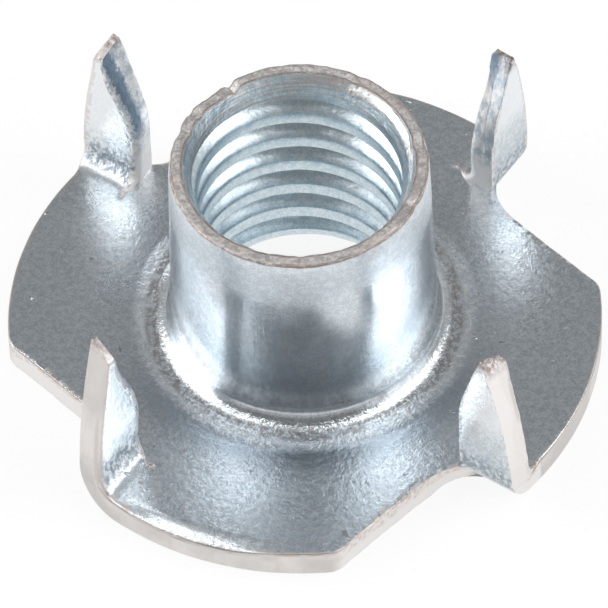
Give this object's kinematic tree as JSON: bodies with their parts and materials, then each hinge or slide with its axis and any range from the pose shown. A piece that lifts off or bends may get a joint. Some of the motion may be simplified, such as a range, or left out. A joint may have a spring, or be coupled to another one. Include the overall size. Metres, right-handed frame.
{
  "type": "tee nut",
  "caption": "Drive-in tee nut with a tapped barrel, a round flange and prongs folded up from its edge.",
  "frame": {"origin": "centre of the flange's underside, on the barrel's axis", "axes": "+Z along the barrel towards its rim, the way the prongs point; the middle of the lobe ahead of one prong lies on +X"},
  "size_m": [0.0254, 0.0254, 0.0117],
  "materials": {
    "zinc_plate": "bright zinc plate over pressed steel, semi-gloss, with rougher sheared edges"
  },
  "bodies": {
    "root": {"tee_nut": "zinc_plate"}
  },
  "joints": []
}
